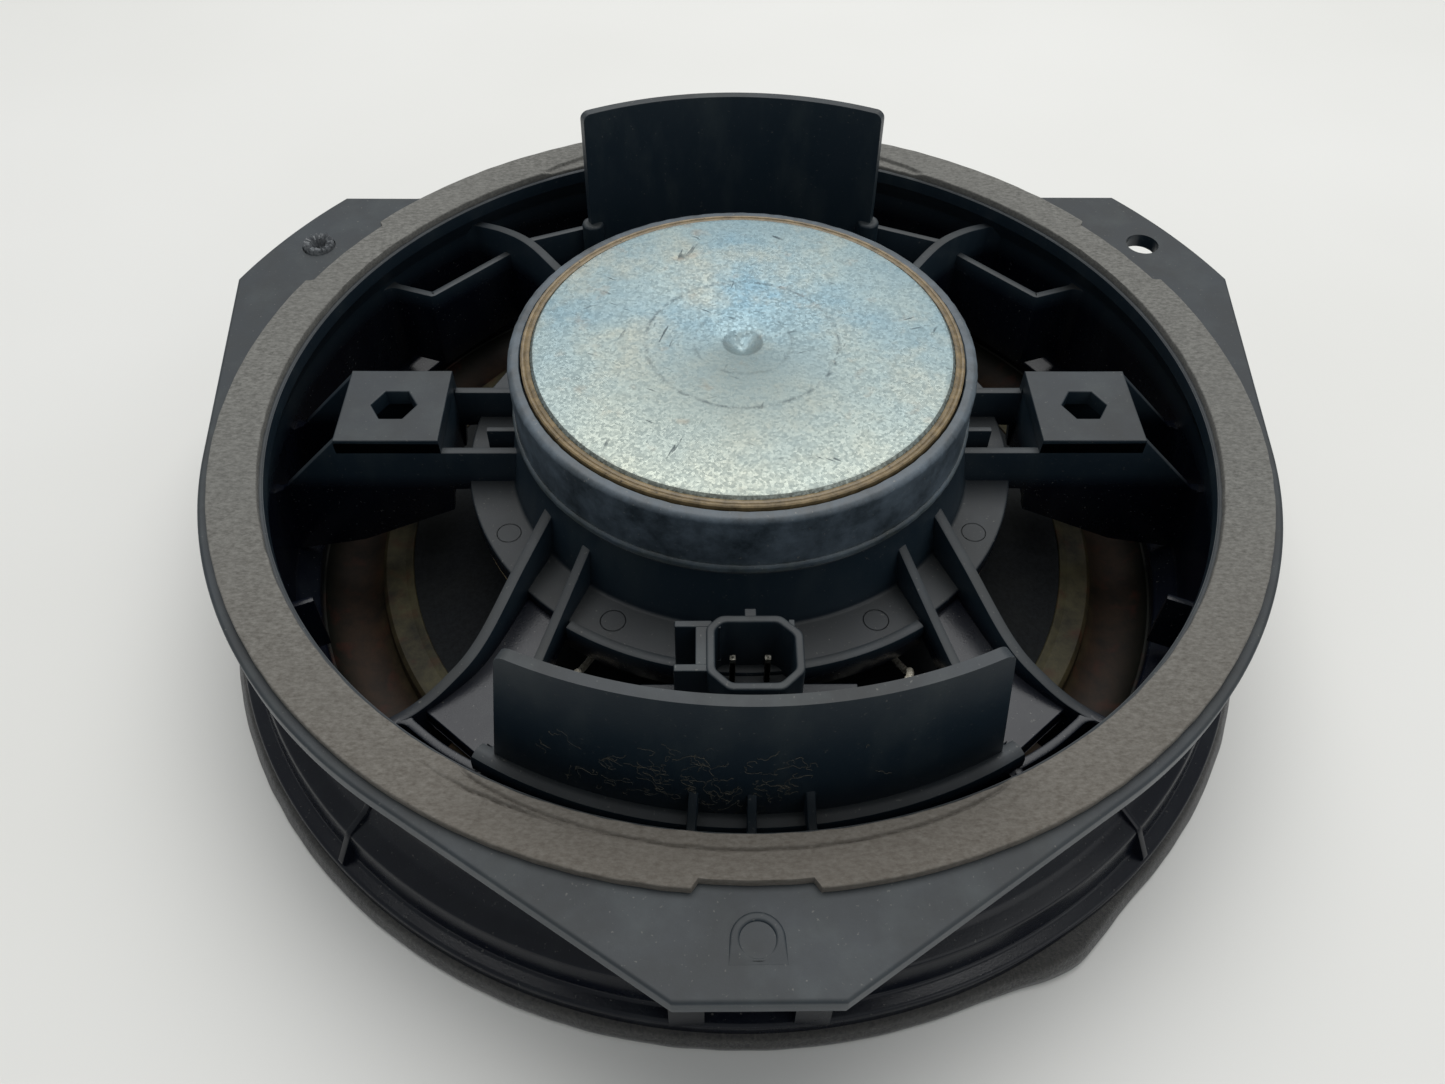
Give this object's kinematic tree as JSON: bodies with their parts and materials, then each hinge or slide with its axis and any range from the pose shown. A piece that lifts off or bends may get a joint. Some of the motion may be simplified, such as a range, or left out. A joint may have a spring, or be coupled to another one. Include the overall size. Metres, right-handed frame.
{
  "type": "car subwoofer speaker",
  "caption": "Round car woofer, magnet up: ribbed plastic basket with three ears, nut pads, shield walls and a connector socket, around a cone that slides along its axis.",
  "frame": {"origin": "on the table, under the middle of the outline; the speaker's own axis stands 3.7 mm behind it, at Y = +0.0037 m", "axes": "+Z along the speaker's axis, from its front rim on the table up to the magnet; -Y towards the connector and the front ear; +X to the right seen from the connector side"},
  "size_m": [0.2247, 0.231, 0.0745],
  "materials": {
    "basket": "moulded, fine grain",
    "rear_gasket": "closed-cell foam",
    "front_gasket": "felt",
    "yoke": "zinc plated",
    "ferrite_magnet": "sintered ferrite",
    "magnet_boot": "soft moulded sleeve",
    "plate_bead": "cured adhesive",
    "top_plate": "zinc plated",
    "coil_former": "polyimide film",
    "coil_winding": "enamelled copper wire",
    "spider": "resin-treated cloth",
    "cone": "pressed paper pulp",
    "dust_cap": "pressed paper pulp",
    "surround": "moulded rubber",
    "connector_socket": "moulded",
    "terminal_pin_left": "tinned",
    "terminal_pin_right": "tinned",
    "tinsel_lead_left": "tinsel braid",
    "tinsel_lead_right": "tinsel braid",
    "coil_wire_left": "enamelled copper wire",
    "coil_wire_right": "enamelled copper wire",
    "fastener_stub": "broken push fastener"
  },
  "bodies": {
    "basket_assembly": {"basket": "basket", "rear_gasket": "rear_gasket", "front_gasket": "front_gasket", "yoke": "yoke", "ferrite_magnet": "ferrite_magnet", "magnet_boot": "magnet_boot", "plate_bead": "plate_bead", "top_plate": "top_plate", "spider": "spider", "surround": "surround", "connector_socket": "connector_socket", "terminal_pin_left": "terminal_pin_left", "terminal_pin_right": "terminal_pin_right", "tinsel_lead_left": "tinsel_lead_left", "tinsel_lead_right": "tinsel_lead_right", "fastener_stub": "fastener_stub"},
    "diaphragm": {"coil_former": "coil_former", "coil_winding": "coil_winding", "cone": "cone", "dust_cap": "dust_cap", "coil_wire_left": "coil_wire_left", "coil_wire_right": "coil_wire_right"}
  },
  "joints": [
    {"name": "cone_travel", "type": "slide", "parent": "basket_assembly", "child": "diaphragm", "axis": [0, 0, 1], "range_m": [-0.005, 0.005], "stiffness_N_per_m": 2500, "deforming": ["surround", "spider", "tinsel_lead_left", "tinsel_lead_right"]}
  ]
}
